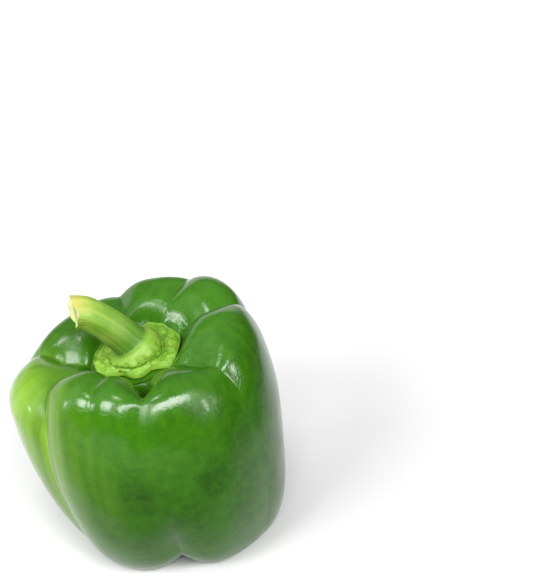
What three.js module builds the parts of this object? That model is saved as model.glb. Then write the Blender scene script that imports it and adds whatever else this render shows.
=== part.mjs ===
// A green bell pepper in millimetres, +Z up, standing on its feet with its front towards -Y.
// The origin is on the surface it stands on, below the middle of its outline seen from above.
import * as THREE from "three";

// The pod leans to -X about the middle of its feet. Its shape is written upright and leaned at the end.
const LEAN = THREE.MathUtils.degToRad(7);
const MIDDLE_X = -4.6; // where the middle of the leaning pepper's outline lies, seen from above
const MIDDLE_Y = -0.2;
const FOOT_FLAT = 1.6; // height taken off the feet, which leaves each a small flat to stand on

// The basin that the stalk stands in, and the dimple between the feet
const FLOOR_HEIGHT = 63.4;
const FLOOR_RADIUS = 13;
const FLOOR_TILT = 0.12; // rise of the basin's floor for each millimetre towards the angle given next
const FLOOR_TILT_TO = THREE.MathUtils.degToRad(57);
const DIMPLE_HEIGHT = 10;
const DIMPLE_ROUND = [0.6, 0.2]; // shares of the foot's radius that give the dimple its bell-shaped wall
const SCAR_DROP = 0.9; // the small scar of the blossom in the dimple's middle, and its spread
const SCAR_SPREAD = 1.8;
// The basin's wall leaves the floor steeply and reaches the crown level: shares of the way out and up
const WALL_RADII = [0.12, 0.42];
const WALL_HEIGHTS = [0.45, 1];

// Stretches of the skin, from the middle of the basin (0) out over the crown and down to the dimple (1)
const FLOOR_EDGE = 0.08;
const CROWN = 0.26;
const REACH = 0.54;
const FOOT = 0.85;
const STATIONS = [0, FLOOR_EDGE, CROWN, REACH, FOOT, 1];
// Where the depths of the furrows are given: half way up the wall, at the crown, below the shoulder, at the
// reach, above the foot and at the foot
const DEPTH_STATIONS = [0, FLOOR_EDGE, 0.17, CROWN, 0.38, REACH, 0.7, FOOT, 1];
const FACING = [0, 0, 0, 90, 180, 180]; // which way the skin faces there, in degrees: up, out, then down

// The swellings round the pod, each at its angle in degrees counter-clockwise from +X, the front being 270.
// The crown is a swelling's highest point and the reach its widest, each with its radius and height. The foot
// has its radius and how far it is let down for the furrows beside it. Shoulder and hip say how square they
// are.
const SWELLINGS = [
  { angle: 0, crown: [25, 80], reach: [41.6, 38.5], foot: [27.5, 0.6], shoulder: 0.7, hip: 0.68 },
  { angle: 44, crown: [27, 80], reach: [44.5, 44], foot: [21, 1.1], shoulder: 0.65, hip: 0.6 },
  { angle: 85, crown: [25.5, 78.3], reach: [41, 44], foot: [20, 1], shoulder: 0.59, hip: 0.6 },
  { angle: 139, crown: [22.5, 74.2], reach: [39.5, 50], foot: [19, 0.4], shoulder: 0.52, hip: 0.58 },
  { angle: 195, crown: [23, 73], reach: [41.5, 57.5], foot: [17, 1], shoulder: 0.55, hip: 0.47 },
  { angle: 242, crown: [24.3, 76.3], reach: [41, 46], foot: [20.5, 2.25], shoulder: 0.63, hip: 0.54 },
  { angle: 308, crown: [22.9, 74.7], reach: [41.3, 43], foot: [23, 2.0], shoulder: 0.59, hip: 0.58 },
];

// The furrows between them: the angle at the basin's floor, then at the crown, the reach and the foot, the
// depths from the basin's wall down to the foot, and how wide each fades out. The front one is written as
// two, since it is a narrow notch over the crown and a wide hollow above the feet.
const FURROWS = [
  { start: 38, angles: [22.5, 28, 26], depths: [7, 7.5, 4, 2.5, 2.5, 4], width: 7 },
  { start: 62, angles: [61, 61, 61], depths: [3, 4.5, 2, 0.8, 0.8, 1], width: 6 },
  { start: 104, angles: [104, 104, 104], depths: [4, 6, 3.5, 2.5, 2.5, 4], width: 7.5 },
  { start: 172, angles: [172, 172, 172], depths: [8, 10, 4, 1.5, 1.5, 1.5], width: 7.5 },
  { start: 210, angles: [211, 225, 225], depths: [4, 6.5, 4.5, 3, 3, 4], width: 8 },
  { start: 251.5, angles: [251.5, 252, 252], depths: [3, 2.5, 1.2, 0, 0, 0], width: 3.3 },
  { start: 271, angles: [280, 272, 270], depths: [10.5, 10.5, 1.6, 0, 0, 0], width: 3.4 },
  { start: 290, angles: [290, 279, 285], depths: [0, 0, 0, 0.3, 4.5, 10], width: 8 },
  { start: 306, angles: [322, 330, 338], depths: [4, 7.5, 2, 0.3, 0.4, 2], width: 8 },
];
const CREASE_ROUND = 0.5; // rounding at the bottom of a furrow
const POLE_RADIUS = 3; // nearer to the axis than this, a furrow narrows no further

// The calyx, a thick ragged disc that lies on the basin
const SEAT_GAP = 0.4; // between the calyx and the skin below it
const CALYX_ROOT = 0.053; // station where its top meets the swollen foot of the stalk
const CALYX_EDGE = 0.104; // station that it reaches between its teeth
const CALYX_TOOTH = 0.01; // how much further a tooth reaches
const CALYX_SHORT = 0.052; // how much less far it reaches over the front furrow, and how widely round
const CALYX_SHORT_WIDTH = 1.15;
const CALYX_SHORT_AT = THREE.MathUtils.degToRad(268);
const CALYX_SPAN = 0.6; // share of the furrows' depth that it spans without sinking in
const CALYX_THICK = 1.6;
const CALYX_THINNING = 0.4; // share of that thickness lost towards the edge
const CALYX_SHOULDER = 0.6; // share of the way out where its top starts to round off
const TEETH = 7;
const TOOTH_UNEVEN = 0.8; // how far the teeth are spread and crowded
const TOOTH_TURN = THREE.MathUtils.degToRad(274);
// Its knobs, each at an angle and so far out from the basin's middle, with its height and its spread
const CALYX_KNOBS = [
  { angle: 350, out: 11.6, height: 1.3, spread: 2.6 },
  { angle: 32, out: 11, height: 1, spread: 2 },
  { angle: 70, out: 11.5, height: 0.8, spread: 2.2 },
  { angle: 115, out: 11, height: 0.9, spread: 2 },
  { angle: 150, out: 11.5, height: 0.8, spread: 2.3 },
  { angle: 184, out: 12, height: 0.9, spread: 2 },
  { angle: 213, out: 9.6, height: 0.9, spread: 1.7 },
  { angle: 245, out: 9.4, height: 0.6, spread: 1.4 },
  { angle: 276, out: 10.2, height: 0.9, spread: 1.6 },
  { angle: 312, out: 9.8, height: 0.8, spread: 1.6 },
];
// The grains between them: height, number round and out, and how far the pattern is turned
const CALYX_GRAINS = { height: 0.25, round: 16, turn: 2, out: 12 };

// The stalk's rings from the calyx up to the cut end: how far its middle lies to the left of the basin's
// middle and above its floor, how far it tilts to the left in degrees, and its radius
const STALK_RINGS = [
  [0, 2, 0, 8.6],
  [0, 2.6, 2, 8],
  [0.1, 3.7, 6, 8.4],
  [0.3, 5.3, 14, 8],
  [0.7, 6.4, 24, 7],
  [1.1, 6.8, 31, 5.9],
  [1.9, 7.9, 34, 5.5],
  [4.7, 11.8, 38, 5.3],
  [8.5, 16, 50, 5.05],
  [12.5, 19.5, 64, 5.1],
  [15.5, 20.3, 77, 5.35],
  [16.4, 20.4, 86, 5.5],
];
const NECK_RING = 5; // the ring where the stalk leaves its swollen foot, and above which it is ribbed
const STALK_TURN = THREE.MathUtils.degToRad(8); // turn of the stalk's bend towards the front
const RIBS = 5;
const RIB_SHARE = 0.045; // height of a rib as a share of the stalk's radius
const RIB_TURN = 0.6;
// The ragged edge of the cut end: how far it stands out or in, and how often round the end
const CUT_WAVES = [
  { height: 0.5, round: 3, turn: 0.5 },
  { height: 0.25, round: 8, turn: 0 },
];
const CUT_SLOPE = 0.2; // the cut faces round to the front: how far it stands out for each millimetre to the back
const CUT_FROM = 8; // the ring from which the stalk's side is drawn out to the edge of the cut
const CUT_FACE = 0.8; // share of the radius where the cut face starts to hollow
const CUT_HOLLOW = 0.7; // depth of the hollow in the middle of the cut end

// How finely the skins are divided: columns round the axis, and rows in each stretch
const POD_COLUMNS = 120;
const POD_ROWS = [2, 8, 12, 12, 7];
const STALK_COLUMNS = 72;
const UNDERSIDE_ROWS = 5;
const RIM_ROWS = 3;
const CALYX_ROWS = 7;
const ROWS_A_RING = 2;

const POD_COLOUR = 0x3f8a1f;
const STALK_COLOUR = 0x9dc24a;

const radians = THREE.MathUtils.degToRad;
const clamp = THREE.MathUtils.clamp;
const lerp = THREE.MathUtils.lerp;
const smooth = (x) => THREE.MathUtils.smoothstep(x, 0, 1);

// The point at u on a cubic Bezier curve in one coordinate.
function bezier(u, a, b, c, d) {
  const v = 1 - u;
  return v ** 3 * a + 3 * v * v * u * b + 3 * v * u * u * c + u ** 3 * d;
}

// A quantity of the swellings at an angle, passing smoothly from each swelling to the next.
function around(theta, quantity) {
  const degrees = THREE.MathUtils.euclideanModulo(THREE.MathUtils.radToDeg(theta), 360);
  const count = SWELLINGS.length;
  let k = count - 1;
  while (SWELLINGS[k].angle > degrees) k -= 1;
  const here = SWELLINGS[k];
  const next = SWELLINGS[(k + 1) % count];
  const gap = THREE.MathUtils.euclideanModulo(next.angle - here.angle, 360);
  return lerp(quantity(here), quantity(next), smooth((degrees - here.angle) / gap));
}

// A quantity of a furrow at a station, passing smoothly between the values that are given.
function along(s, values, stations = STATIONS) {
  let k = stations.length - 2;
  while (k > 0 && s < stations[k]) k -= 1;
  return lerp(values[k], values[k + 1], smooth((s - stations[k]) / (stations[k + 1] - stations[k])));
}

// Height of the basin's floor, which is tilted.
function floorHeight(x, y) {
  return FLOOR_HEIGHT + FLOOR_TILT * (x * Math.cos(FLOOR_TILT_TO) + y * Math.sin(FLOOR_TILT_TO));
}

// The profile without furrows: radius and height at an angle and a station.
function profile(theta, s) {
  const [crownR, crownZ] = [0, 1].map((i) => around(theta, (w) => w.crown[i]));
  const [reachR, reachZ] = [0, 1].map((i) => around(theta, (w) => w.reach[i]));
  const [footR, footDrop] = [0, 1].map((i) => around(theta, (w) => w.foot[i]));
  const footZ = -footR * Math.cos(theta) * Math.tan(LEAN) - footDrop; // level once the pod leans
  const floorR = FLOOR_RADIUS * Math.min(s / FLOOR_EDGE, 1);
  const floorZ = floorHeight(floorR * Math.cos(theta), floorR * Math.sin(theta));
  if (s < FLOOR_EDGE) return [floorR, floorZ];
  if (s < CROWN) {
    const u = (s - FLOOR_EDGE) / (CROWN - FLOOR_EDGE);
    return [
      lerp(floorR, crownR, bezier(u, 0, ...WALL_RADII, 1)),
      lerp(floorZ, crownZ, bezier(u, 0, ...WALL_HEIGHTS, 1)),
    ];
  }
  if (s < REACH) {
    const u = (s - CROWN) / (REACH - CROWN);
    const full = around(theta, (w) => w.shoulder);
    return [
      bezier(u, crownR, lerp(crownR, reachR, full), reachR, reachR),
      bezier(u, crownZ, crownZ, lerp(reachZ, crownZ, full), reachZ),
    ];
  }
  if (s < FOOT) {
    const u = (s - REACH) / (FOOT - REACH);
    const full = around(theta, (w) => w.hip);
    return [
      bezier(u, reachR, reachR, lerp(footR, reachR, full), footR),
      bezier(u, reachZ, lerp(reachZ, footZ, full), footZ, footZ),
    ];
  }
  const u = (s - FOOT) / (1 - FOOT);
  const dimpleR = footR * bezier(u, 1, ...DIMPLE_ROUND, 0);
  const scar = SCAR_DROP * Math.exp(-((dimpleR / SCAR_SPREAD) ** 2));
  return [dimpleR, bezier(u, footZ, footZ, DIMPLE_HEIGHT, DIMPLE_HEIGHT) - scar];
}

// How far the furrows take the skin in at an angle, a station and its radius.
function furrowDepth(theta, s, radius) {
  let depth = 0;
  for (const { start, angles, depths, width } of FURROWS) {
    const middle = radians(along(s, [start, start, ...angles, angles[2]]));
    const turn = THREE.MathUtils.euclideanModulo(theta - middle + Math.PI, 2 * Math.PI) - Math.PI;
    const away = Math.hypot(turn * Math.max(radius, POLE_RADIUS), CREASE_ROUND) - CREASE_ROUND;
    depth += along(s, [0, 0, ...depths, 0], DEPTH_STATIONS) * Math.exp(-away / width);
  }
  return depth;
}

// A point on the upright pod, lifted off its skin and taken in by the furrows.
function skinPoint(theta, s, lift = 0) {
  const [radius, height] = profile(theta, s);
  const facing = radians(along(s, FACING));
  const out = lift - furrowDepth(theta, s, radius);
  const r = Math.max(radius + Math.sin(facing) * out, 0);
  return new THREE.Vector3(r * Math.cos(theta), r * Math.sin(theta), height + Math.cos(facing) * out);
}

// From the upright pod's frame to the part's own: leaned, sunk by the flats of the feet, and centred.
function placed(point) {
  point.applyAxisAngle(new THREE.Vector3(0, 1, 0), -LEAN);
  return new THREE.Vector3(point.x - MIDDLE_X, point.y - MIDDLE_Y, Math.max(point.z - FOOT_FLAT, 0));
}

// A closed skin from rows of points round the axis, from a first pole to a last one, facing out.
function closedSkin(firstPole, rows, lastPole, columns) {
  const positions = [firstPole, ...rows.flat(), lastPole].flatMap((p) => p.toArray());
  const last = rows.length * columns + 1;
  const at = (row, column) => 1 + row * columns + (column % columns);
  const index = [];
  for (let c = 0; c < columns; c += 1) {
    index.push(0, at(0, c), at(0, c + 1));
    for (let r = 0; r < rows.length - 1; r += 1) {
      index.push(at(r, c), at(r + 1, c), at(r + 1, c + 1));
      index.push(at(r, c), at(r + 1, c + 1), at(r, c + 1));
    }
    index.push(last, at(rows.length - 1, c + 1), at(rows.length - 1, c));
  }
  const geometry = new THREE.BufferGeometry();
  geometry.setAttribute("position", new THREE.Float32BufferAttribute(positions, 3));
  geometry.setIndex(index);
  return geometry;
}

// A row of points, one for each column.
function ringOf(columns, pointAt) {
  return Array.from({ length: columns }, (_, c) => placed(pointAt((2 * Math.PI * c) / columns)));
}

// The fruit itself.
function podGeometry() {
  const stations = [];
  POD_ROWS.forEach((count, k) => {
    for (let i = 1; i <= count; i += 1) stations.push(lerp(STATIONS[k], STATIONS[k + 1], i / count));
  });
  stations.pop();
  const rows = stations.map((s) => ringOf(POD_COLUMNS, (theta) => skinPoint(theta, s)));
  return closedSkin(placed(skinPoint(0, 0)), rows, placed(skinPoint(0, 1)), POD_COLUMNS);
}

// How far out the calyx reaches at an angle, as a station of the skin.
function calyxEdge(theta) {
  const tooth = Math.cos(TEETH * (theta - TOOTH_TURN) + TOOTH_UNEVEN * Math.sin(2 * theta));
  const off = THREE.MathUtils.euclideanModulo(theta - CALYX_SHORT_AT + Math.PI, 2 * Math.PI) - Math.PI;
  const short = CALYX_SHORT * Math.exp(-((off / CALYX_SHORT_WIDTH) ** 6));
  return CALYX_EDGE + (CALYX_TOOTH * (1 + tooth)) / 2 - short;
}

// A point over the skin that sinks into its furrows only in part.
function calyxPoint(theta, s, lift) {
  const [radius] = profile(theta, s);
  return skinPoint(theta, s, lift + CALYX_SPAN * furrowDepth(theta, s, radius));
}

// The calyx's top at an angle, from its root (0) to its edge (1): knobbly, and rounded off towards the edge.
function calyxTop(theta, share) {
  const rounding = Math.sqrt(1 - clamp((share - CALYX_SHOULDER) / (1 - CALYX_SHOULDER), 0, 1) ** 2);
  const s = lerp(CALYX_ROOT, calyxEdge(theta), share);
  const [away] = profile(theta, s);
  const { height, round, turn, out } = CALYX_GRAINS;
  let lumps = height * Math.sqrt(share) * Math.sin(round * theta + turn) * Math.sin(out * share);
  for (const knob of CALYX_KNOBS) {
    const x = away * Math.cos(theta) - knob.out * Math.cos(radians(knob.angle));
    const y = away * Math.sin(theta) - knob.out * Math.sin(radians(knob.angle));
    lumps += knob.height * Math.exp(-(x * x + y * y) / knob.spread ** 2);
  }
  const thick = CALYX_THICK * (1 - CALYX_THINNING * share) + lumps;
  return calyxPoint(theta, s, SEAT_GAP + thick * rounding);
}

// A value of the stalk's rings part of the way along them, by a Catmull-Rom curve through the rings.
function ringValue(way, column) {
  const count = STALK_RINGS.length;
  const k = Math.min(Math.floor(way), count - 2);
  const t = way - k;
  const value = (i) => STALK_RINGS[i][column];
  const b = value(k);
  const c = value(k + 1);
  const a = k > 0 ? value(k - 1) : 2 * b - c;
  const d = k < count - 2 ? value(k + 2) : 2 * c - b;
  const square = 2 * a - 5 * b + 4 * c - d;
  const cube = 3 * b - a - 3 * c + d;
  return 0.5 * (2 * b + (c - a) * t + square * t ** 2 + cube * t ** 3);
}

// A point of the stalk: at a way along its rings, an angle and a share of its radius, pushed along its axis.
function stalkPoint(theta, way, share = 1, push = 0) {
  const [left, up, tiltDegrees, radius] = [0, 1, 2, 3].map((column) => ringValue(way, column));
  const tilt = radians(tiltDegrees);
  const ribbed = smooth((way - NECK_RING) / 2);
  const r = share * radius * (1 + RIB_SHARE * ribbed * Math.cos(RIBS * theta + RIB_TURN));
  const across = r * Math.cos(theta);
  const x = -left + across * Math.cos(tilt) - push * Math.sin(tilt);
  const point = new THREE.Vector3(x, r * Math.sin(theta), 0);
  point.applyAxisAngle(new THREE.Vector3(0, 0, 1), STALK_TURN);
  const seat = lerp(floorHeight(point.x, point.y), FLOOR_HEIGHT, smooth(way / NECK_RING));
  point.z = seat + up + across * Math.sin(tilt) + push * Math.cos(tilt);
  return point;
}

// How far the cut end stands out at an angle and a share of its radius, for its slope alone.
const cutSlope = (theta, share) => CUT_SLOPE * share * STALK_RINGS.at(-1)[3] * Math.sin(theta);

// How far the ragged edge of the cut end stands out at an angle.
function cutEdge(theta) {
  const waves = CUT_WAVES.map(({ height, round, turn }) => height * Math.cos(round * theta + turn));
  return waves.reduce((sum, wave) => sum + wave, cutSlope(theta, 1));
}

// The stalk and its calyx, grown as one: under the calyx, round its edge, over its top and up the stalk.
function stalkGeometry() {
  const rows = [];
  const addRow = (pointAt) => rows.push(ringOf(STALK_COLUMNS, pointAt));
  for (let i = 1; i <= UNDERSIDE_ROWS; i += 1) {
    const share = i / UNDERSIDE_ROWS;
    addRow((theta) => calyxPoint(theta, calyxEdge(theta) * share, SEAT_GAP));
  }
  for (let i = 1; i < RIM_ROWS; i += 1) {
    const round = Math.sin(((i / RIM_ROWS) * Math.PI) / 2);
    addRow((theta) => calyxTop(theta, lerp(1, CALYX_SHOULDER, 1 - Math.sqrt(1 - round ** 2))));
  }
  for (let i = CALYX_ROWS; i > 0; i -= 1) {
    addRow((theta) => calyxTop(theta, (CALYX_SHOULDER * i) / CALYX_ROWS));
  }
  const steps = (STALK_RINGS.length - 1) * ROWS_A_RING;
  for (let i = 0; i < steps; i += 1) {
    const way = i / ROWS_A_RING;
    const drawn = smooth((way - CUT_FROM) / 2);
    addRow((theta) => stalkPoint(theta, way, 1, drawn * cutEdge(theta)));
  }
  const end = STALK_RINGS.length - 1;
  addRow((theta) => stalkPoint(theta, end, 1, cutEdge(theta)));
  addRow((theta) => {
    const hollowed = (cutEdge(theta) - cutSlope(theta, 1) - CUT_HOLLOW) / 2;
    return stalkPoint(theta, end, CUT_FACE, hollowed + cutSlope(theta, CUT_FACE));
  });
  const firstPole = placed(calyxPoint(0, 0, SEAT_GAP));
  const lastPole = placed(stalkPoint(0, end, 0, -CUT_HOLLOW));
  // These rows run from the underside up, so the skin is turned to face out.
  const geometry = closedSkin(firstPole, rows, lastPole, STALK_COLUMNS);
  geometry.index.array.reverse();
  return geometry;
}

function piece(name, geometry, colour, roughness) {
  geometry.computeVertexNormals();
  const material = new THREE.MeshStandardMaterial({ color: colour, roughness, metalness: 0 });
  const mesh = new THREE.Mesh(geometry, material);
  mesh.name = name;
  return mesh;
}

const pepper = new THREE.Group();
pepper.name = "bell_pepper";
pepper.add(piece("pod", podGeometry(), POD_COLOUR, 0.25));
pepper.add(piece("stalk", stalkGeometry(), STALK_COLOUR, 0.6));

export default pepper;
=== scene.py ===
"""A green bell pepper that stands on its feet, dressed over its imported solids.

Shapes are worked out in millimetres, from the same values as the solids, and turned into metres as the
meshes are made. Angles round the fruit run counter-clockwise from +X, seen from above. Its front faces -Y.
"""
import math

import bpy
import numpy as np
from mathutils import Euler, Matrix, Quaternion, Vector, noise


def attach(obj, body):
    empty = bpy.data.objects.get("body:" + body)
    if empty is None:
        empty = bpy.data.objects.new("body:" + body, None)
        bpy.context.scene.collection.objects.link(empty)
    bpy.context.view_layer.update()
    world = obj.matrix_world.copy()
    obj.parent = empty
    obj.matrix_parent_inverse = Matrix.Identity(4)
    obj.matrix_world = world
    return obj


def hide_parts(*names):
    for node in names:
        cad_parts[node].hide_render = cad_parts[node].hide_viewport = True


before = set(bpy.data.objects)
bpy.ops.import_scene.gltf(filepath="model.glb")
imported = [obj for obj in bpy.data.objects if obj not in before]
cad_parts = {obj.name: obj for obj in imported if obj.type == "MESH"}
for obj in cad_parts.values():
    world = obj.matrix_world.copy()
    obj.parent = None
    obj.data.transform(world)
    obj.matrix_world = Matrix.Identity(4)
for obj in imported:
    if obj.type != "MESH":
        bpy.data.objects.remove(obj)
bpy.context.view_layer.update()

MM = 0.001
FULL_TURN = 2 * math.pi

# The pod leans to -X about the middle of its feet. Its shape is written upright and leaned at the end.
LEAN = math.radians(7)
MIDDLE = (-4.6, -0.2)  # where the middle of the leaning pepper's outline lies, seen from above
FOOT_FLAT = 1.6  # height taken off the feet, which leaves each a small flat to stand on

# The basin that the stalk stands in, and the dimple between the feet
FLOOR_HEIGHT = 63.4
FLOOR_RADIUS = 13
FLOOR_TILT = 0.12  # how much the basin's floor rises for each millimetre towards the angle given next
FLOOR_TILT_TO = math.radians(57)
DIMPLE_HEIGHT = 10
DIMPLE_ROUND = (0.6, 0.2)  # shares of the foot's radius that give the dimple its bell-shaped wall
SCAR_DROP = 0.9  # the small scar of the blossom in the dimple's middle, and its spread
SCAR_SPREAD = 1.8
# The basin's wall leaves the floor steeply and reaches the crown level: shares of the way out and up
WALL_RADII = (0.12, 0.42)
WALL_HEIGHTS = (0.45, 1)

# Stretches of the skin, from the middle of the basin (0) out over the crown and down to the dimple (1)
FLOOR_EDGE = 0.08
CROWN = 0.26
REACH = 0.54
FOOT = 0.85
STATIONS = (0, FLOOR_EDGE, CROWN, REACH, FOOT, 1)
FACING = (0, 0, 0, 90, 180, 180)  # which way the skin faces at each of them, in degrees: up, out, then down
# Where the depths of the furrows are given: half way up the wall, at the crown, below the shoulder, at
# the reach, above the foot and at the foot. There are none at the two ends and at the floor's edge.
DEPTH_STATIONS = (0, FLOOR_EDGE, 0.17, CROWN, 0.38, REACH, 0.7, FOOT, 1)

# The swellings round the pod. The crown is a swelling's highest point and the reach its widest, each with
# its radius and height. The foot has its radius and how far it is let down for the furrows beside it.
# Square says how square its shoulder and its hip are, and angles are in degrees.
SWELLINGS = (
    {"angle": 0, "crown": (25, 80), "reach": (41.6, 38.5), "foot": (27.5, 0.6), "square": (0.7, 0.68)},
    {"angle": 44, "crown": (27, 80), "reach": (44.5, 44), "foot": (21, 1.1), "square": (0.65, 0.6)},
    {"angle": 85, "crown": (25.5, 78.3), "reach": (41, 44), "foot": (20, 1), "square": (0.59, 0.6)},
    {"angle": 139, "crown": (22.5, 74.2), "reach": (39.5, 50), "foot": (19, 0.4), "square": (0.52, 0.58)},
    {"angle": 195, "crown": (23, 73), "reach": (41.5, 57.5), "foot": (17, 1), "square": (0.55, 0.47)},
    {"angle": 242, "crown": (24.3, 76.3), "reach": (41, 46), "foot": (20.5, 2.25), "square": (0.63, 0.54)},
    {"angle": 308, "crown": (22.9, 74.7), "reach": (41.3, 43), "foot": (23, 2.0), "square": (0.59, 0.58)},
)

# The furrows between and on them: the angle at the basin's floor, then at the crown, the reach and the
# foot, the depths from the basin's wall down to the foot, and how wide each fades out. The one in the middle
# of the front is written as two: a deep narrow notch over the crown, and a wide hollow above the feet.
FURROWS = (
    {"start": 38, "angles": (22.5, 28, 26), "depths": (7, 7.5, 4, 2.5, 2.5, 4), "width": 7},
    {"start": 62, "angles": (61, 61, 61), "depths": (3, 4.5, 2, 0.8, 0.8, 1), "width": 6},
    {"start": 104, "angles": (104, 104, 104), "depths": (4, 6, 3.5, 2.5, 2.5, 4), "width": 7.5},
    {"start": 172, "angles": (172, 172, 172), "depths": (8, 10, 4, 1.5, 1.5, 1.5), "width": 7.5},
    {"start": 210, "angles": (211, 225, 225), "depths": (4, 6.5, 4.5, 3, 3, 4), "width": 8},
    {"start": 251.5, "angles": (251.5, 252, 252), "depths": (3, 2.5, 1.2, 0, 0, 0), "width": 3.3},
    {"start": 271, "angles": (280, 272, 270), "depths": (10.5, 10.5, 1.6, 0, 0, 0), "width": 3.4},
    {"start": 290, "angles": (290, 279, 285), "depths": (0, 0, 0, 0.3, 4.5, 10), "width": 8},
    {"start": 306, "angles": (322, 330, 338), "depths": (4, 7.5, 2, 0.3, 0.4, 2), "width": 8},
)
CREASE_ROUND = 0.5  # rounding at the bottom of a furrow
POLE_RADIUS = 3  # nearer to the axis than this, a furrow narrows no further

# The calyx, a thick ragged disc that lies on the basin
SEAT_GAP = 0.4  # between the calyx and the skin below it
CALYX_ROOT = 0.053  # station where its top meets the swollen foot of the stalk
CALYX_EDGE = 0.104  # station that it reaches between its teeth
CALYX_TOOTH = 0.01  # how much further a tooth reaches
CALYX_SHORT = 0.052  # how much less far it reaches over the front, about which angle, and how widely round
CALYX_SHORT_AT = math.radians(268)
CALYX_SHORT_WIDTH = 1.15
CALYX_SHORT_POWER = 6  # how suddenly that begins and ends
CALYX_SPAN = 0.6  # share of the furrows' depth that it spans without sinking in
CALYX_THICK = 1.6
CALYX_THINNING = 0.4  # share of that thickness lost towards the edge
CALYX_SHOULDER = 0.6  # share of the way out where its top starts to round off
TEETH = 7
TOOTH_UNEVEN = 0.8  # how far the teeth are spread and crowded
TOOTH_TURN = math.radians(274)
# Its knobs, each at an angle and so far out from the basin's middle, with its height and its spread
CALYX_KNOBS = (
    {"angle": 350, "out": 11.6, "height": 1.3, "spread": 2.6},
    {"angle": 32, "out": 11, "height": 1, "spread": 2},
    {"angle": 70, "out": 11.5, "height": 0.8, "spread": 2.2},
    {"angle": 115, "out": 11, "height": 0.9, "spread": 2},
    {"angle": 150, "out": 11.5, "height": 0.8, "spread": 2.3},
    {"angle": 184, "out": 12, "height": 0.9, "spread": 2},
    {"angle": 213, "out": 9.6, "height": 0.9, "spread": 1.7},
    {"angle": 245, "out": 9.4, "height": 0.6, "spread": 1.4},
    {"angle": 276, "out": 10.2, "height": 0.9, "spread": 1.6},
    {"angle": 312, "out": 9.8, "height": 0.8, "spread": 1.6},
)
# The grains between them: height, number round and out, and how far the pattern is turned
CALYX_GRAINS = {"height": 0.25, "round": 16, "turn": 2, "out": 12}

# The stalk's rings from the calyx up to the cut end: how far its middle lies to the left of the basin's
# middle and above its floor, how far it tilts to the left in degrees, and its radius
STALK_RINGS = np.array((
    (0, 2, 0, 8.6),
    (0, 2.6, 2, 8),
    (0.1, 3.7, 6, 8.4),
    (0.3, 5.3, 14, 8),
    (0.7, 6.4, 24, 7),
    (1.1, 6.8, 31, 5.9),
    (1.9, 7.9, 34, 5.5),
    (4.7, 11.8, 38, 5.3),
    (8.5, 16, 50, 5.05),
    (12.5, 19.5, 64, 5.1),
    (15.5, 20.3, 77, 5.35),
    (16.4, 20.4, 86, 5.5),
))
LAST_RING = len(STALK_RINGS) - 1
NECK_RING = 5  # the ring where the stalk leaves its swollen foot, and above which it is ribbed
STALK_TURN = math.radians(8)  # turn of the stalk's bend towards the front
RIBS = 5
RIB_SHARE = 0.045  # height of a rib as a share of the stalk's radius
RIB_TURN = 0.6
# The ragged edge of the cut end: how far it stands out or in, and how often round the end
CUT_WAVES = (
    {"height": 0.5, "round": 3, "turn": 0.5},
    {"height": 0.25, "round": 8, "turn": 0},
)
CUT_SLOPE = 0.2  # the cut faces round to the front: how far it stands out for each millimetre to the back
CUT_FROM = 8  # the ring from which the stalk's side is drawn out to the edge of the cut
FADE_RINGS = 2  # over how many rings that sets in, as do the ribs and the fibres
CUT_FACE = 0.8  # share of the radius where the cut face starts to hollow
CUT_HOLLOW = 0.7  # depth of the hollow in the middle of the cut end

# Radii of the straightened fruit and stalk on which their materials are laid out
SKIN_GROWN_RADIUS = 40
STALK_GROWN_RADIUS = 5

# Where the skin is paler, where it is darker, and where a bloom dulls it: the angle and the station
# of each patch, how wide it is in degrees, how long, and how strong. Two of the pale patches are painted
# light along a furrow, and two of the dark ones are painted shade on the right flank.
PALE_AND_LIT_PATCHES = (
    {"angle": 196, "at": 0.54, "wide": 24, "long": 0.2, "amount": 0.8},
    # These two are painted light, laid along the furrow between the left and front-left swellings to lighten
    # the shade in it
    {"angle": 224, "at": 0.54, "wide": 4, "long": 0.16, "amount": 0.65},
    {"angle": 230, "at": 0.5, "wide": 8, "long": 0.2, "amount": 0.35},
    {"angle": 242, "at": 0.52, "wide": 6, "long": 0.12, "amount": 0.14},
    {"angle": 251, "at": 0.52, "wide": 4, "long": 0.09, "amount": 0.09},
    {"angle": 256, "at": 0.56, "wide": 5, "long": 0.07, "amount": 0.1},
)
DEEP_AND_SHADE_PATCHES = (
    {"angle": 304, "at": 0.32, "wide": 26, "long": 0.12, "amount": 0.5},
    {"angle": 303, "at": 0.42, "wide": 14, "long": 0.06, "amount": 0.6},
    {"angle": 290, "at": 0.425, "wide": 10, "long": 0.035, "amount": 0.4},
    {"angle": 270, "at": 0.555, "wide": 8, "long": 0.04, "amount": 0.95},
    {"angle": 266, "at": 0.66, "wide": 14, "long": 0.06, "amount": 0.35},
    {"angle": 301, "at": 0.55, "wide": 9, "long": 0.04, "amount": 0.85},
    {"angle": 290, "at": 0.6, "wide": 14, "long": 0.1, "amount": 0.55},
    # These two are painted shade that darkens the right flank
    {"angle": 318, "at": 0.55, "wide": 12, "long": 0.2, "amount": 0.7},
    {"angle": 345, "at": 0.55, "wide": 20, "long": 0.2, "amount": 0.8},
    {"angle": 275, "at": 0.6, "wide": 50, "long": 0.2, "amount": 0.3},
    {"angle": 85, "at": 0.6, "wide": 60, "long": 0.2, "amount": 0.4},
)
DULL_PATCHES = (
    {"angle": 76, "at": 0.185, "wide": 16, "long": 0.025, "amount": 1},
    {"angle": 167, "at": 0.245, "wide": 9, "long": 0.035, "amount": 0.6},
    {"angle": 215, "at": 0.45, "wide": 8, "long": 0.05, "amount": 1},
    {"angle": 240, "at": 0.38, "wide": 3, "long": 0.035, "amount": 1},
    {"angle": 278, "at": 0.39, "wide": 4, "long": 0.035, "amount": 1},
    {"angle": 305, "at": 0.415, "wide": 8, "long": 0.045, "amount": 1},
)

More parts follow.
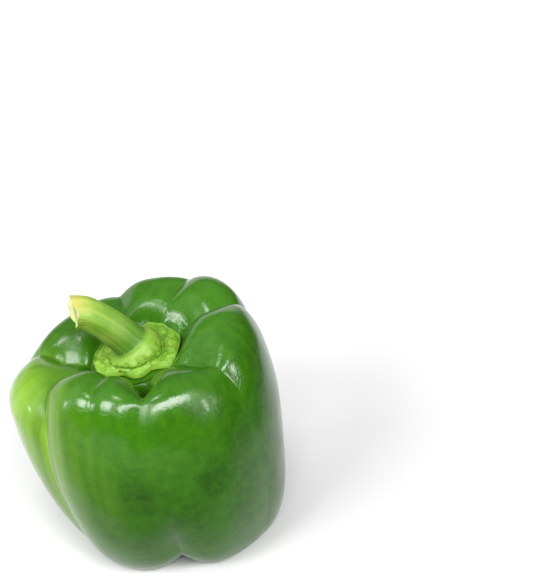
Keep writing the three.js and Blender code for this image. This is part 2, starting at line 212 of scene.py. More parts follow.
# Fine relief, which the solids leave out. Each has its height, or depth, and the size of its lumps.
DENTS = ({"height": 0.35, "size": 17}, {"height": 0.1, "size": 7})
DENTS_START = 0.12  # station where the dents set in, clear of the calyx
# Low swells of the basin's walls: the angle and the station of each, how wide it is in degrees, how long,
# and how far it stands out
SWELLS = (
    {"angle": 78, "at": 0.19, "wide": 18, "long": 0.035, "amount": 1.3},
    {"angle": 74, "at": 0.13, "wide": 14, "long": 0.03, "amount": -0.9},
)
WARTS = ({"height": 0.65, "size": 2.7}, {"height": 0.3, "size": 1.3})
WART_ROUNDNESS = 1.6  # how soon a wart falls off from its top
WART_MIDDLE = 0.4  # share of their height by which the ground between the warts is taken in
WARTS_FROM = 1.5  # the ring of the stalk from which the warts fade out, and over how many rings
WARTS_FADE = 2.5
FIBRES = ({"height": 0.12, "around": 1.1, "along": 11}, {"height": 0.04, "around": 0.4, "along": 6})
FIBRES_FROM = 3  # the ring from which they set in
FIBRE_RADIUS = 5.2  # radius of the stalk for their spacing
FIBRE_SEED = 3.7
RIDGE_ANGLE = math.radians(-48)  # a sharper ridge that runs down the stalk's front
RIDGE_HEIGHT = 0.22
RIDGE_WIDTH = 0.14  # in radians round the stalk

# Colours
SKIN_GREEN = (0.021, 0.09, 0.002)
SKIN_DARK = (0.009, 0.042, 0.001)
SKIN_LIGHT = (0.038, 0.135, 0.003)
SKIN_PALE = (0.23, 0.4, 0.03)
SKIN_SPECK = (0.06, 0.2, 0.008)
STALK_GREEN = (0.09, 0.2, 0.012)
STALK_LIGHT = (0.18, 0.27, 0.035)
STALK_DEEP = (0.025, 0.1, 0.004)
CALYX_GREEN = (0.1, 0.24, 0.01)
STALK_DRY = (0.36, 0.29, 0.07)
STALK_CUT = (0.42, 0.45, 0.17)

# The noises in the materials: how many lumps to a unit of length, or on each axis, with the detail and the
# roughness of each. The unit is the millimetre along the growth, but the metre for the stalk's first two.
SKIN_NOISES = {
    "clouds": {"scale": 0.05, "detail": 5, "roughness": 0.6},
    "mottles": {"scale": 0.3, "detail": 4, "roughness": 0.65},
    "streaks": {"scale": (0.35, 0.35, 0.02), "detail": 3, "roughness": 0.6},
    "fine_streaks": {"scale": (1.6, 1.6, 0.06), "detail": 2, "roughness": 0.5},
    "specks": {"scale": 2.2, "detail": 2, "roughness": 0.6},
    "cells": {"scale": 0.7, "detail": 4, "roughness": 0.6},
}
STALK_CLOUDS = {"scale": 160, "detail": 3, "roughness": 0.6}
STALK_GRAIN = {"scale": 1400, "detail": 3, "roughness": 0.6}
STALK_FIBRES = {"scale": (1.6, 1.6, 0.12), "detail": 3, "roughness": 0.6}

CLOUDED = (0.4, 0.66)  # values of the clouds' noise from clear skin to the darkest
# The layers of colour over the green, from the lowest up. Each comes up to its share as every quantity that
# it names goes from the first value to the second. Those are the noises above and what the meshes keep.
SKIN_LAYERS = (
    {"where": (("clouds", *CLOUDED),), "share": 0.35, "colour": SKIN_DARK},
    # The dark patches; the two on the right flank are painted shade
    {"where": (("deep", 0, 1),), "share": 1, "colour": SKIN_DARK},
    {"where": (("mottles", 0.4, 0.7),), "share": 0.4, "colour": SKIN_LIGHT},
    {"where": (("streaks", 0.5, 0.85),), "share": 0.2, "colour": SKIN_LIGHT},
    {"where": (("fine_streaks", 0.55, 0.85),), "share": 0.1, "colour": SKIN_LIGHT},
    # The pale patches, frayed by the streaks; the two along the left furrow are painted light
    {"where": (("ragged_pale", 0, 1),), "share": 1, "colour": SKIN_PALE},
    {"where": (("specks", 0.66, 0.8),), "share": 0.35, "colour": SKIN_SPECK},
)
# How the streaks fray the paleness: between two values of theirs it goes from one share to another
PALE_RAGGEDNESS = (0.25, 0.6, 0.55, 1)
STALK_LAYERS = (
    {"where": (("clouds", 0.35, 0.7),), "share": 1, "colour": STALK_LIGHT},
    {"where": (("fibres", 0.45, 0.75),), "share": 0.35, "colour": STALK_LIGHT},
    # Painted shade over the stalk's neck, the calyx's own green, and painted light on the tops of its warts
    # and painted shade in their pits
    {"where": (("part", 0.38, 0.5), ("part", 0.82, 0.55)), "share": 0.75, "colour": STALK_DEEP},
    {"where": (("part", 0.4, 0.15),), "share": 0.6, "colour": CALYX_GREEN},
    {"where": (("part", 0.4, 0.15), ("relief", 0.1, 0.5)), "share": 0.35, "colour": STALK_LIGHT},
    {"where": (("part", 0.4, 0.15), ("relief", 0.12, -0.3)), "share": 0.5, "colour": STALK_DEEP},
    # A painted highlight along the ridge, the dry side near the cut, the cut's edge, its face, and a darker
    # middle of the face, where it is hollowed
    {"where": (("ridge_highlight_side", 0.97, 1), ("part", 0.6, 0.75)), "share": 0.6, "colour": STALK_LIGHT},
    {"where": (("dry_side", 0.6, 0.9), ("part", 0.8, 0.92)), "share": 0.65, "colour": STALK_DRY},
    {"where": (("part", 0.985, 0.995), ("part", 1.02, 1)), "share": 0.6, "colour": STALK_DRY},
    {"where": (("part", 1, 1.03),), "share": 1, "colour": STALK_CUT},
    {"where": (("part", 1.35, 1.6),), "share": 0.5, "colour": STALK_DEEP},
)
DRY_ANGLE = math.radians(-20)  # the side of the stalk that has dried near the cut

# Gloss and fine grain
SKIN_ROUGHNESS = (0.12, 0.19)  # from clear skin to the darkest clouds
SKIN_DULLING = 0.22  # roughness that the bloom adds where it is full
SKIN_IOR = 1.34
SKIN_COAT = 0.12
SKIN_COAT_ROUGHNESS = 0.1
SKIN_BUMP = 0.26
STALK_ROUGHNESS = 0.5
STALK_IOR = 1.38
STALK_BUMP = 0.25
BUMP_DEPTH = 0.0004  # metres, for a bump of full strength
SHEET_ROUGHNESS = 0.9

# The soft boxes, all at one distance from a point in the pepper, in metres. Each stands so many degrees
# round the pepper, 0 being its front and 90 its right, and so many above the level. Then come its turn
# about its own middle in degrees and its size in metres.
LIGHT_TARGET = (0, 0, 0.05)
LIGHT_DISTANCE = 1
SOFT_BOXES = (
    {"name": "left_wall", "from": (-80, 40), "turn": 0, "size": (0.9, 0.9), "watts": 2},
    {"name": "left_low_box", "from": (-76, 13), "turn": 0, "size": (0.09, 0.14), "watts": 1.9},
    {"name": "left_box", "from": (-38, 36), "turn": 0, "size": (0.36, 0.38), "watts": 10},
    {"name": "main_box", "from": (22.5, 41), "turn": 9, "size": (1.06, 0.2), "watts": 17.8},
    {"name": "right_box", "from": (67, 21), "turn": 0, "size": (0.055, 0.2), "watts": 1.9},
    {"name": "overhead_box", "from": (-24, 69), "turn": 0, "size": (0.26, 0.1), "watts": 2.2},
)
# The room round them: how bright its walls are, up to one height in degrees above the level, and how
# bright its ceiling is, from a second one
ROOM_LIGHT = 0.1
ROOM_TOP = 20
CEILING_LIGHT = 0.6
CEILING_EDGE = 60
# The brighter backdrop behind the pepper: its direction, how nearly a direction points there where it
# begins and where it is full, and the heights between which it ends, as shares of straight up
BACKDROP_LIGHT = 1.2
BACKDROP_DIRECTION = (-0.6, 0.8, 0)
BACKDROP_SPREAD = (0.45, 0.75)
BACKDROP_TOP = (0.25, 0.4)
# The sheet's whiteness, and how it changes along a direction on it: over which stretch in metres, and
# from which share of the white to which. The changes are painted light and shade: just in front of the
# picture it is painted dark, farther in front less so. It is painted whiter to the back and darker to the
# right, and past the right of the picture it is painted dark.
SHEET_HALF = 4  # half its side
SHEET_WHITE = 0.63
SHEET_PAINTED_SHADING_RAMPS = (
    {"along": (0, 1), "stretch": (-0.055, -0.032), "shares": (0.25, 1)},
    {"along": (0, 1), "stretch": (-0.2, -0.08), "shares": (2, 1)},
    {"along": (0, 1), "stretch": (0, 0.45), "shares": (0.9, 1.65)},
    {"along": (1, 0), "stretch": (-0.12, 0.08), "shares": (1.12, 0.78)},
    {"along": (1, -0.15), "stretch": (0.14, 0.2), "shares": (1, 0.2)},
)

# The camera, in millimetres for its lens, metres for its place and degrees up from straight down
CAMERA_LENS = 100
CAMERA_SENSOR = 36
CAMERA_PLACE = (0.0405, -0.41596, 0.32273)
CAMERA_TILT = 60.5

# How finely the skins are divided: columns round the axis, and rows in each stretch
POD_COLUMNS = 384
POD_ROWS = (6, 50, 60, 62, 40)
COLUMN_CROWDING = 0.7  # how far the columns crowd towards the furrows, 0 being evenly spread
STALK_COLUMNS = 256
UNDERSIDE_ROWS = 12
RIM_ROWS = 12
CALYX_ROWS = 50
ROWS_A_RING = 20
CUT_ROWS = 16


def smooth(x):
    """0 to 1 with a level start and end."""
    x = np.clip(x, 0, 1)
    return x * x * (3 - 2 * x)


def lerp(a, b, share):
    """From a to b by a share of the way."""
    return a + (b - a) * share


def turned_from(theta, angle):
    """The turn from an angle to each theta, from -pi to pi."""
    return (theta - angle + math.pi) % FULL_TURN - math.pi


def bezier(u, a, b, c, d):
    """The point at u on a cubic Bezier curve, in one coordinate."""
    v = 1 - u
    return v**3 * a + 3 * v * v * u * b + 3 * v * u * u * c + u**3 * d


def around(theta, pick):
    """A quantity of the swellings at each angle, passing smoothly from each swelling to the next."""
    angles = np.radians([w["angle"] for w in SWELLINGS] + [360])
    values = np.array([pick(w) for w in (*SWELLINGS, SWELLINGS[0])], float)
    turn = theta % FULL_TURN
    k = np.clip(np.searchsorted(angles, turn, side="right") - 1, 0, len(SWELLINGS) - 1)
    return lerp(values[k], values[k + 1], smooth((turn - angles[k]) / (angles[k + 1] - angles[k])))


def along(s, values, stations=STATIONS):
    """A quantity at each station, passing smoothly between the values that are given."""
    stations, values = np.array(stations), np.array(values, float)
    k = np.clip(np.searchsorted(stations, s, side="right") - 1, 0, len(stations) - 2)
    return lerp(values[k], values[k + 1], smooth((s - stations[k]) / (stations[k + 1] - stations[k])))


def floor_height(x, y):
    """Height of the basin's floor, which is tilted."""
    return FLOOR_HEIGHT + FLOOR_TILT * (x * math.cos(FLOOR_TILT_TO) + y * math.sin(FLOOR_TILT_TO))


def profile(theta, s):
    """Radius and height of the skin without its furrows, at each angle and station."""
    crown_r, crown_z = (around(theta, lambda w: w["crown"][i]) for i in range(2))
    reach_r, reach_z = (around(theta, lambda w: w["reach"][i]) for i in range(2))
    foot_r, foot_drop = (around(theta, lambda w: w["foot"][i]) for i in range(2))
    shoulder, hip = (around(theta, lambda w: w["square"][i]) for i in range(2))
    foot_z = -foot_r * np.cos(theta) * math.tan(LEAN) - foot_drop  # level once the pod leans

    def within(a, b):
        return (s - a) / (b - a)

    floor_r = FLOOR_RADIUS * np.minimum(s / FLOOR_EDGE, 1)
    floor_z = floor_height(floor_r * np.cos(theta), floor_r * np.sin(theta))
    floor = (floor_r, floor_z)
    u = within(FLOOR_EDGE, CROWN)
    wall = (
        lerp(floor_r, crown_r, bezier(u, 0, *WALL_RADII, 1)),
        lerp(floor_z, crown_z, bezier(u, 0, *WALL_HEIGHTS, 1)),
    )
    u = within(CROWN, REACH)
    upper = (
        bezier(u, crown_r, lerp(crown_r, reach_r, shoulder), reach_r, reach_r),
        bezier(u, crown_z, crown_z, lerp(reach_z, crown_z, shoulder), reach_z),
    )
    u = within(REACH, FOOT)
    lower = (
        bezier(u, reach_r, reach_r, lerp(foot_r, reach_r, hip), foot_r),
        bezier(u, reach_z, lerp(reach_z, foot_z, hip), foot_z, foot_z),
    )
    u = within(FOOT, 1)
    dimple_r = foot_r * bezier(u, 1, *DIMPLE_ROUND, 0)
    scar = SCAR_DROP * np.exp(-((dimple_r / SCAR_SPREAD) ** 2))
    dimple = (dimple_r, bezier(u, foot_z, foot_z, DIMPLE_HEIGHT, DIMPLE_HEIGHT) - scar)

    stretch = [s < FLOOR_EDGE, s < CROWN, s < REACH, s < FOOT]
    return tuple(np.select(stretch, (floor[i], wall[i], upper[i], lower[i]), dimple[i]) for i in range(2))


def furrow_path(furrow, s):
    """The angle of a furrow's middle at each station, in radians."""
    angles = furrow["angles"]
    return np.radians(along(s, (furrow["start"], furrow["start"], *angles, angles[-1])))


def furrow_depth(theta, s, radius):
    """How far the furrows take the skin in at each angle, station and radius."""
    depth = np.zeros_like(s)
    for furrow in FURROWS:
        turn = turned_from(theta, furrow_path(furrow, s))
        away = np.hypot(turn * np.maximum(radius, POLE_RADIUS), CREASE_ROUND) - CREASE_ROUND
        depth += along(s, (0, 0, *furrow["depths"], 0), DEPTH_STATIONS) * np.exp(-away / furrow["width"])
    return depth


def skin_point(theta, s, lift=0.0):
    """Points on the upright pod, lifted off its skin and taken in by the furrows."""
    radius, height = profile(theta, s)
    facing = np.radians(along(s, FACING))
    out = lift - furrow_depth(theta, s, radius)
    r = np.maximum(radius + np.sin(facing) * out, 0)
    return np.stack((r * np.cos(theta), r * np.sin(theta), height + np.cos(facing) * out), -1)


def placed(points):
    """From the upright pod's frame to the part's own: leaned, sunk by the flats of its feet and centred."""
    x, y, z = points[..., 0], points[..., 1], points[..., 2]
    leaned_x = x * math.cos(LEAN) - z * math.sin(LEAN)
    leaned_z = x * math.sin(LEAN) + z * math.cos(LEAN)
    return np.stack((leaned_x - MIDDLE[0], y - MIDDLE[1], np.maximum(leaned_z - FOOT_FLAT, 0)), -1)


def noise_at(points, size, seed=0.0):
    """Smooth noise from about -1 to 1 at each point, with lumps of about the size given."""
    flat = points.reshape(-1, 3) / size + seed
    return np.array([noise.noise(p) for p in flat.tolist()]).reshape(points.shape[:-1])


def warts_at(points, size):
    """Round bumps from 0 to 1 at each point, crowded together at about the distance given."""
    flat = points.reshape(-1, 3) / size
    away = np.array([noise.voronoi(p)[0][0] for p in flat.tolist()]).reshape(points.shape[:-1])
    return np.clip(1 - away**2 * WART_ROUNDNESS, 0, 1)


def closed_skin(name, first_pole, rows, last_pole, facing_out=True):
    """A mesh object from rows of points round an axis, in millimetres, closed by a pole at each end.

    Its faces look out where the rows run down the outside, and are turned over if facing_out is false.
    """
    count, columns = rows.shape[:2]
    points = np.concatenate((first_pole[None], rows.reshape(-1, 3), last_pole[None])) * MM
    here = np.arange(columns)
    beside = (here + 1) % columns
    upper = 1 + columns * np.arange(count - 1)[:, None]
    lower = upper + columns
    quads = np.stack((upper + here, lower + here, lower + beside, upper + beside), -1)
    last_row = 1 + columns * (count - 1)
    last = np.full(columns, len(points) - 1)
    first_fan = np.stack((np.zeros(columns, int), 1 + here, 1 + beside), -1)
    last_fan = np.stack((last, last_row + beside, last_row + here), -1)
    faces = [*quads.reshape(-1, 4).tolist(), *first_fan.tolist(), *last_fan.tolist()]
    if not facing_out:
        faces = [face[::-1] for face in faces]
    mesh = bpy.data.meshes.new(name)
    mesh.from_pydata(points.tolist(), [], faces)
    mesh.shade_smooth()
    made = bpy.data.objects.new(name, mesh)
    bpy.context.scene.collection.objects.link(made)
    return made


def keep_values(piece, name, first, rows, last):
    """Keeps a number or a vector for each point of a closed skin, which its material reads by name."""
    size = len(first)
    values = np.concatenate((first[None], rows.reshape(-1, size), last[None]))
    kind, field = ("FLOAT_VECTOR", "vector") if size == 3 else ("FLOAT", "value")
    kept = piece.data.attributes.new(name, kind, "POINT")
    kept.data.foreach_set(field, values.astype(np.float32).ravel())


def grown_at(theta, distance, radius):
    """Coordinates that follow a piece's growth: round its straightened axis and along it, in millimetres."""
    return np.stack(np.broadcast_arrays(radius * np.cos(theta), radius * np.sin(theta), distance), -1)


def run_along(rows):
    """How far each row lies from the first one along a skin, taking the mean over its columns."""
    steps = np.linalg.norm(np.diff(rows, axis=0), axis=-1).mean(1)
    return np.concatenate(([0], np.cumsum(steps)))


def column_angles():
    """The angles of the pod's columns at the crown: one in each furrow, the rest crowding towards them."""
    ends = [f["angles"][0] for f in FURROWS]
    angles = []
    for start, end in zip(ends, [*ends[1:], ends[0] + 360]):
        count = round(POD_COLUMNS * (end - start) / 360)
        share = np.arange(count) / count
        share -= COLUMN_CROWDING * np.sin(FULL_TURN * share) / FULL_TURN
        angles.extend(np.radians(start + (end - start) * share))
    return np.array(angles)


def following_furrows(angles, stations):
    """The angle of every column at every station, so that no column crosses a furrow."""
    crown = np.radians([f["angles"][0] for f in FURROWS])
    paths = np.stack([furrow_path(f, stations) for f in FURROWS], -1)
    crown = np.append(crown, crown[0] + FULL_TURN)
    paths = np.concatenate((paths, paths[:, :1] + FULL_TURN), axis=1)
    return np.array([np.interp(angles, crown, path) for path in paths])


def patch_on(theta, s, patch):
    """The amount of a patch at each angle and station: full in its middle and fading out all round."""
    across = np.degrees(turned_from(theta, math.radians(patch["angle"]))) / patch["wide"]
    down = (s - patch["at"]) / patch["long"]
    return patch["amount"] * np.exp(-(across**2) - down**2)


def patches_on(theta, s, patches):
    """How strong the patches are, from 0 to 1, at each angle and station: the strongest of them."""
    return np.max([patch_on(theta, s, patch) for patch in patches], axis=0)


def make_pod():
    """The fruit's skin."""
    edges = zip(STATIONS, STATIONS[1:], POD_ROWS)
    stations = np.concatenate([np.linspace(a, b, n + 1)[1:] for a, b, n in edges])[:-1]
    theta = following_furrows(column_angles(), stations)
    s = np.broadcast_to(stations[:, None], theta.shape)
    smooth_skin = skin_point(theta, s)
    dents = sum(d["height"] * noise_at(smooth_skin, d["size"]) for d in DENTS)
    swells = sum(patch_on(theta, s, swell) for swell in SWELLS)
    rows = placed(skin_point(theta, s, swells + dents * smooth((s - DENTS_START) / DENTS_START)))
    poles = [placed(skin_point(np.zeros(1), np.full(1, float(end))))[0] for end in (0, 1)]
    made = closed_skin("pod_skin", poles[0], rows, poles[1])

    down = run_along(rows)
    grown = grown_at(theta, down[:, None], SKIN_GROWN_RADIUS)
    keep_values(made, "grown", np.zeros(3), grown, np.array([0, 0, down[-1]]))
    for name, patches in (("pale", PALE_AND_LIT_PATCHES), ("deep", DEEP_AND_SHADE_PATCHES), ("dull", DULL_PATCHES)):
        keep_values(made, name, np.zeros(1), patches_on(theta, s, patches), np.zeros(1))
    return made


def calyx_edge(theta):
    """How far out the calyx reaches at each angle, as a station of the skin."""
    tooth = np.cos(TEETH * (theta - TOOTH_TURN) + TOOTH_UNEVEN * np.sin(2 * theta))
    off = turned_from(theta, CALYX_SHORT_AT) / CALYX_SHORT_WIDTH
    short = CALYX_SHORT * np.exp(-(off**CALYX_SHORT_POWER))
    return CALYX_EDGE + CALYX_TOOTH * (1 + tooth) / 2 - short


def calyx_point(theta, s, lift):
    """Points over the skin that sink into its furrows only in part."""
    return skin_point(theta, s, lift + CALYX_SPAN * furrow_depth(theta, s, profile(theta, s)[0]))


def calyx_top(theta, share, warts=0.0):
    """The calyx's top from its root (0) to its edge (1): lumpy, and thinner and rounded off to the edge."""
    past = np.clip((share - CALYX_SHOULDER) / (1 - CALYX_SHOULDER), 0, 1)
    rounding = np.sqrt(1 - past**2)
    s = lerp(CALYX_ROOT, calyx_edge(theta), share)
    out = profile(theta, s)[0]
    grains = np.sin(CALYX_GRAINS["round"] * theta + CALYX_GRAINS["turn"])
    lumps = CALYX_GRAINS["height"] * np.sqrt(share) * grains * np.sin(CALYX_GRAINS["out"] * share)
    for knob in CALYX_KNOBS:
        x = out * np.cos(theta) - knob["out"] * math.cos(math.radians(knob["angle"]))
        y = out * np.sin(theta) - knob["out"] * math.sin(math.radians(knob["angle"]))
        lumps = lumps + knob["height"] * np.exp(-(x * x + y * y) / knob["spread"] ** 2)
    thick = CALYX_THICK * (1 - CALYX_THINNING * share) + lumps + warts
    return calyx_point(theta, s, SEAT_GAP + thick * rounding)


def ring_values(way):
    """Left, up, tilt and radius of the stalk at each way along its rings, on a Catmull-Rom curve."""
    before = 2 * STALK_RINGS[0] - STALK_RINGS[1]
    after = 2 * STALK_RINGS[-1] - STALK_RINGS[-2]
    rings = np.concatenate(([before], STALK_RINGS, [after]))
    k = np.minimum(np.floor(way).astype(int), LAST_RING - 1)
    t = (way - k)[..., None]
    a, b, c, d = (rings[k + i] for i in range(4))
    curve = 2 * b + (c - a) * t + (2 * a - 5 * b + 4 * c - d) * t * t + (3 * b - a - 3 * c + d) * t**3
    return np.moveaxis(curve / 2, -1, 0)


def stalk_point(theta, way, share=1.0, push=0.0, swell=0.0):
    """Points of the stalk at each way along its rings, pushed along its axis, at a share of its radius."""
    left, up, tilt, radius = ring_values(way)
    tilt = np.radians(tilt)
    ribbed = smooth((way - NECK_RING) / FADE_RINGS)
    r = share * (radius + swell) * (1 + RIB_SHARE * ribbed * np.cos(RIBS * theta + RIB_TURN))
    x = -left + r * np.cos(theta) * np.cos(tilt) - push * np.sin(tilt)
    y = r * np.sin(theta)
    turned_x = x * math.cos(STALK_TURN) - y * math.sin(STALK_TURN)
    turned_y = x * math.sin(STALK_TURN) + y * math.cos(STALK_TURN)
    seat = lerp(floor_height(turned_x, turned_y), FLOOR_HEIGHT, smooth(way / NECK_RING))
    z = seat + up + r * np.cos(theta) * np.sin(tilt) + push * np.cos(tilt)
    return np.stack((turned_x, turned_y, z), -1)


def ragged(theta):
    """How far the ragged edge of the cut end stands out at each angle, without its slope."""
    return sum(w["height"] * np.cos(w["round"] * theta + w["turn"]) for w in CUT_WAVES)


def cut_slope(theta, share=1.0):
    """How far the cut end stands out for its slope alone, at each angle and share of its radius."""
    return CUT_SLOPE * share * STALK_RINGS[-1][3] * np.sin(theta)


def warts_on(points):
    """Height of the warts that cover the calyx and the stalk's swollen foot, at each point."""
    return sum(w["height"] * (warts_at(points, w["size"]) - WART_MIDDLE) for w in WARTS)


def fibres_on(theta, distance):
    """Height of the stalk's fibres and ridge at each angle and distance along it, in millimetres."""
    height = np.zeros_like(theta)
    for fibre in FIBRES:
        radius = FIBRE_RADIUS / fibre["around"]
        places = np.stack((radius * np.cos(theta), radius * np.sin(theta), distance / fibre["along"]), -1)
        height += fibre["height"] * noise_at(places, 1, FIBRE_SEED)
    return height + RIDGE_HEIGHT * np.exp(-((turned_from(theta, RIDGE_ANGLE) / RIDGE_WIDTH) ** 2))


def make_stalk():
    """The stalk and its calyx: from under the calyx over its edge and its top, and up to the cut."""
    theta = np.arange(STALK_COLUMNS) * FULL_TURN / STALK_COLUMNS

    def grid(ways):
        """The angle of every column, and the way along the piece of every row."""
        return np.broadcast_arrays(theta, np.asarray(ways, float)[:, None])

    angle, share = grid(np.arange(1, UNDERSIDE_ROWS + 1) / UNDERSIDE_ROWS)
    underside = calyx_point(angle, calyx_edge(angle) * share, SEAT_GAP)
    under_kept = np.zeros(share.shape)

    angle, turn = grid(np.arange(1, RIM_ROWS) / RIM_ROWS * math.pi / 2)
    rim_share = lerp(1, CALYX_SHOULDER, 1 - np.cos(turn))
    angle, share = grid(np.arange(CALYX_ROWS, 0, -1) / CALYX_ROWS)
    top_angle = np.concatenate((np.broadcast_to(theta, rim_share.shape), angle))
    top_share = np.concatenate((rim_share, CALYX_SHOULDER * share))
    warts = warts_on(calyx_top(top_angle, top_share))
    top = calyx_top(top_angle, top_share, warts)

    angle, way = grid(np.arange(LAST_RING * ROWS_A_RING) / ROWS_A_RING)
    drawn = smooth((way - CUT_FROM) / FADE_RINGS) * (ragged(angle) + cut_slope(angle))
    plain_side = stalk_point(angle, way, push=drawn)
    foot_warts = warts_on(plain_side) * (1 - smooth((way - WARTS_FROM) / WARTS_FADE))
    up = np.broadcast_to(run_along(plain_side.mean(1, keepdims=True))[:, None], way.shape)
    fibres = fibres_on(angle, up) * smooth((way - FIBRES_FROM) / FADE_RINGS)
    side = stalk_point(angle, way, push=drawn, swell=foot_warts + fibres)

    angle, share = grid(1 - np.arange(CUT_ROWS) / CUT_ROWS)
    hollowed = smooth((1 - share) / (1 - CUT_FACE))
    push = lerp(ragged(angle), -CUT_HOLLOW, hollowed) + cut_slope(angle, share)
    face = stalk_point(angle, np.full_like(share, LAST_RING), share, push, fibres[-1])

    rows = placed(np.concatenate((underside, top, side, face)))
    first_pole = placed(calyx_point(np.zeros(1), np.zeros(1), SEAT_GAP))[0]
    last_pole = placed(stalk_point(np.zeros(1), np.full(1, float(LAST_RING)), 0.0, -CUT_HOLLOW))[0]
    made = closed_skin("stalk_and_calyx", first_pole, rows, last_pole, facing_out=False)

    # What the material reads: how far along the piece a point lies, -1 to 0 over the calyx, 0 to 1 up the
    # stalk and 1 to 2 over the cut end; how high the relief stands there; and coordinates along the
    # straightened stalk
    part = np.concatenate((under_kept - 1, -top_share, way / LAST_RING, 2 - share))
    relief = np.concatenate((under_kept - 1, warts, foot_warts + fibres, share * 0))
    keep_values(made, "part", -np.ones(1), part, np.full(1, 2.0))
    keep_values(made, "relief", -np.ones(1), relief, np.zeros(1))
    length = up[-1, 0]
    distance = np.concatenate((under_kept, top_share * 0, up, share * 0 + length))
    grown = grown_at(theta, distance, STALK_GROWN_RADIUS)
    keep_values(made, "grown", np.zeros(3), grown, np.array([0, 0, length]))
    return made


def node(tree, kind, inputs=None, **settings):
    """Adds a shader node. An input is a value or the output of another node, which is linked to it."""
    made = tree.nodes.new(kind)
    for name, value in settings.items():
        setattr(made, name, value)
    for name, value in (inputs or {}).items():
        if isinstance(value, bpy.types.NodeSocket):
            tree.links.new(value, made.inputs[name])
        else:
            made.inputs[name].default_value = value
    return made


def new_material(name):
    """An empty material, with its tree, its Principled shader and that shader's way to the surface."""
    material = bpy.data.materials.new(name)
    material.use_nodes = True
    tree = material.node_tree
    tree.nodes.clear()
    shader = node(tree, "ShaderNodeBsdfPrincipled")
    node(tree, "ShaderNodeOutputMaterial", {"Surface": shader.outputs[0]})
    return material, tree, shader


def attribute(tree, name, output="Fac"):
    """What a mesh keeps for its material under a name."""
    return node(tree, "ShaderNodeAttribute", attribute_name=name).outputs[output]


def noise_field(tree, place, scale, detail, roughness):
    """Noise from 0 to 1 at a place, with so many lumps to the unit of length, or so many on each axis."""
    if isinstance(scale, tuple):
        place = node(tree, "ShaderNodeVectorMath", {0: place, 1: scale}, operation="MULTIPLY").outputs[0]
        scale = 1
    inputs = {"Vector": place, "Scale": scale, "Detail": detail, "Roughness": roughness}
    return node(tree, "ShaderNodeTexNoise", inputs).outputs["Fac"]


def ranged(tree, value, low, high, to_low=0.0, to_high=1.0):
    """A value taken from one range to another and kept inside it."""
    inputs = {"Value": value, "From Min": low, "From Max": high, "To Min": to_low, "To Max": to_high}
    return node(tree, "ShaderNodeMapRange", inputs).outputs[0]


def computed(tree, operation, a, b):
    """Two numbers multiplied, added or the like."""
    return node(tree, "ShaderNodeMath", {0: a, 1: b}, operation=operation).outputs[0]


def dot(tree, place, direction):
    """How far a place lies along a direction, times the direction's length."""
    made = node(tree, "ShaderNodeVectorMath", {0: place, 1: direction}, operation="DOT_PRODUCT")
    return made.outputs["Value"]


def side_facing(tree, grown, angle):
    """From -1 to 1, how nearly a place on the stalk lies at an angle round it."""
    return dot(tree, grown, (math.cos(angle) / STALK_GROWN_RADIUS, math.sin(angle) / STALK_GROWN_RADIUS, 0))


def layered(tree, base, layers, quantities):
    """A colour under layers of others, each of which comes up where the quantities that it names say."""
    colour = (*base, 1)
    for layer in layers:
        share = layer["share"]
        for name, low, high in layer["where"]:
            share = computed(tree, "MULTIPLY", ranged(tree, quantities[name], low, high), share)
        inputs = {0: share, 6: colour, 7: (*layer["colour"], 1)}
        colour = node(tree, "ShaderNodeMix", inputs, data_type="RGBA").outputs[2]
    return colour


def add_bump(tree, shader, height, strength):
    """Roughens a surface by a height from 0 to 1."""
    bump = node(tree, "ShaderNodeBump", {"Height": height, "Strength": strength, "Distance": BUMP_DEPTH})
    tree.links.new(bump.outputs[0], shader.inputs["Normal"])


def skin_material():
    """Glossy waxy skin: deep green with darker clouds, faint streaks down its length and paler patches."""
    material, tree, shader = new_material("waxy_green_skin")
    grown = attribute(tree, "grown", "Vector")
    found = {name: noise_field(tree, grown, **values) for name, values in SKIN_NOISES.items()}
    found["deep"] = attribute(tree, "deep")
    raggedness = ranged(tree, found["streaks"], *PALE_RAGGEDNESS)
    found["ragged_pale"] = computed(tree, "MULTIPLY", attribute(tree, "pale"), raggedness)
    tree.links.new(layered(tree, SKIN_GREEN, SKIN_LAYERS, found), shader.inputs["Base Color"])

    bloom = computed(tree, "MULTIPLY", attribute(tree, "dull"), SKIN_DULLING)
    roughness = ranged(tree, found["clouds"], *CLOUDED, *SKIN_ROUGHNESS)
    tree.links.new(computed(tree, "ADD", roughness, bloom), shader.inputs["Roughness"])
    shader.inputs["IOR"].default_value = SKIN_IOR
    shader.inputs["Coat Weight"].default_value = SKIN_COAT
    shader.inputs["Coat Roughness"].default_value = SKIN_COAT_ROUGHNESS
    add_bump(tree, shader, found["cells"], SKIN_BUMP)
    return material


def stalk_material():
    """Fleshy light green with painted shade in the calyx's pits and at the stalk's neck, dry and pale at the
    cut.
    """
    material, tree, shader = new_material("fleshy_light_green")
    grown = attribute(tree, "grown", "Vector")
    place = node(tree, "ShaderNodeTexCoord").outputs["Object"]
    found = {
        "part": attribute(tree, "part"),
        "relief": attribute(tree, "relief"),
        "clouds": noise_field(tree, place, **STALK_CLOUDS),
        "fibres": noise_field(tree, grown, **STALK_FIBRES),
        "ridge_highlight_side": side_facing(tree, grown, RIDGE_ANGLE),
        "dry_side": side_facing(tree, grown, DRY_ANGLE),
    }
    tree.links.new(layered(tree, STALK_GREEN, STALK_LAYERS, found), shader.inputs["Base Color"])
    shader.inputs["Roughness"].default_value = STALK_ROUGHNESS
    shader.inputs["IOR"].default_value = STALK_IOR
    add_bump(tree, shader, noise_field(tree, place, **STALK_GRAIN), STALK_BUMP)
    return material


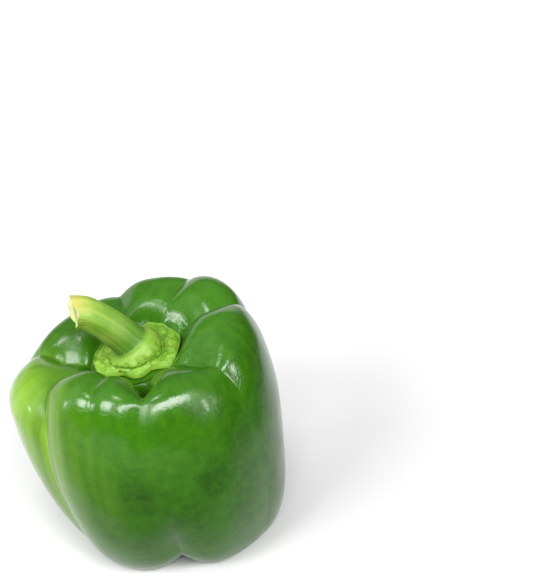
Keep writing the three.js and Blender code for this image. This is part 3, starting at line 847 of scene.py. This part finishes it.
def make_floor():
    """The white sheet that the pepper stands on, with light and shade painted into its colour."""
    mesh = bpy.data.meshes.new("floor")
    corners = [(x * SHEET_HALF, y * SHEET_HALF, 0) for x, y in ((-1, -1), (1, -1), (1, 1), (-1, 1))]
    mesh.from_pydata(corners, [], [(0, 1, 2, 3)])
    floor = bpy.data.objects.new("floor", mesh)
    bpy.context.scene.collection.objects.link(floor)
    material, tree, shader = new_material("sheet_with_painted_shading")
    place = node(tree, "ShaderNodeTexCoord").outputs["Object"]
    white = SHEET_WHITE
    # Painted light and shade: each ramp makes the sheet lighter or darker along its direction
    for ramp in SHEET_PAINTED_SHADING_RAMPS:
        reach = dot(tree, place, (*ramp["along"], 0))
        white = computed(tree, "MULTIPLY", white, ranged(tree, reach, *ramp["stretch"], *ramp["shares"]))
    colour = node(tree, "ShaderNodeCombineColor", {"Red": white, "Green": white, "Blue": white})
    tree.links.new(colour.outputs[0], shader.inputs["Base Color"])
    shader.inputs["Roughness"].default_value = SHEET_ROUGHNESS
    mesh.materials.append(material)


def make_soft_box(box):
    """A soft box that faces the pepper."""
    data = bpy.data.lights.new(box["name"], "AREA")
    data.shape = "RECTANGLE"
    data.size, data.size_y = box["size"]
    data.energy = box["watts"]
    light = bpy.data.objects.new(box["name"], data)
    bpy.context.scene.collection.objects.link(light)
    azimuth, elevation = (math.radians(angle) for angle in box["from"])
    level = math.cos(elevation)
    away = Vector((math.sin(azimuth) * level, -math.cos(azimuth) * level, math.sin(elevation)))
    light.location = Vector(LIGHT_TARGET) + away * LIGHT_DISTANCE
    light.rotation_mode = "QUATERNION"
    turn = Quaternion((0, 0, 1), math.radians(box["turn"]))
    light.rotation_quaternion = away.to_track_quat("Z", "Y") @ turn


def make_lights():
    """Soft boxes in a dim room with a brighter ceiling and a bright backdrop behind the pepper."""
    for box in SOFT_BOXES:
        make_soft_box(box)
    world = bpy.data.worlds.new("room")
    world.use_nodes = True
    tree = world.node_tree
    direction = node(tree, "ShaderNodeTexCoord").outputs["Generated"]
    height = node(tree, "ShaderNodeSeparateXYZ", {"Vector": direction}).outputs["Z"]
    low, high = math.sin(math.radians(ROOM_TOP)), math.sin(math.radians(CEILING_EDGE))
    overhead = ranged(tree, height, low, high, ROOM_LIGHT, CEILING_LIGHT)
    behind = ranged(tree, dot(tree, direction, BACKDROP_DIRECTION), *BACKDROP_SPREAD, 0, BACKDROP_LIGHT)
    backdrop = computed(tree, "MULTIPLY", behind, ranged(tree, height, *BACKDROP_TOP, 1, 0))
    room = computed(tree, "MAXIMUM", overhead, backdrop)
    tree.links.new(room, tree.nodes["Background"].inputs["Strength"])
    tree.nodes["Background"].inputs["Color"].default_value = (1, 1, 1, 1)
    bpy.context.scene.world = world
    bpy.context.scene.view_settings.view_transform = "Standard"


def make_camera():
    """The photograph's view: a long lens, looking down at the pepper from the front."""
    data = bpy.data.cameras.new("camera")
    data.lens = CAMERA_LENS
    data.sensor_width = CAMERA_SENSOR
    camera = bpy.data.objects.new("camera", data)
    camera.location = CAMERA_PLACE
    camera.rotation_euler = Euler((math.radians(CAMERA_TILT), 0, 0))
    bpy.context.scene.collection.objects.link(camera)
    bpy.context.scene.camera = camera


make_camera()
pod = make_pod()
pod.data.materials.append(skin_material())
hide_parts("pod")
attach(pod, "root")

stalk = make_stalk()
stalk.data.materials.append(stalk_material())
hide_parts("stalk")
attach(stalk, "root")

make_floor()
make_lights()
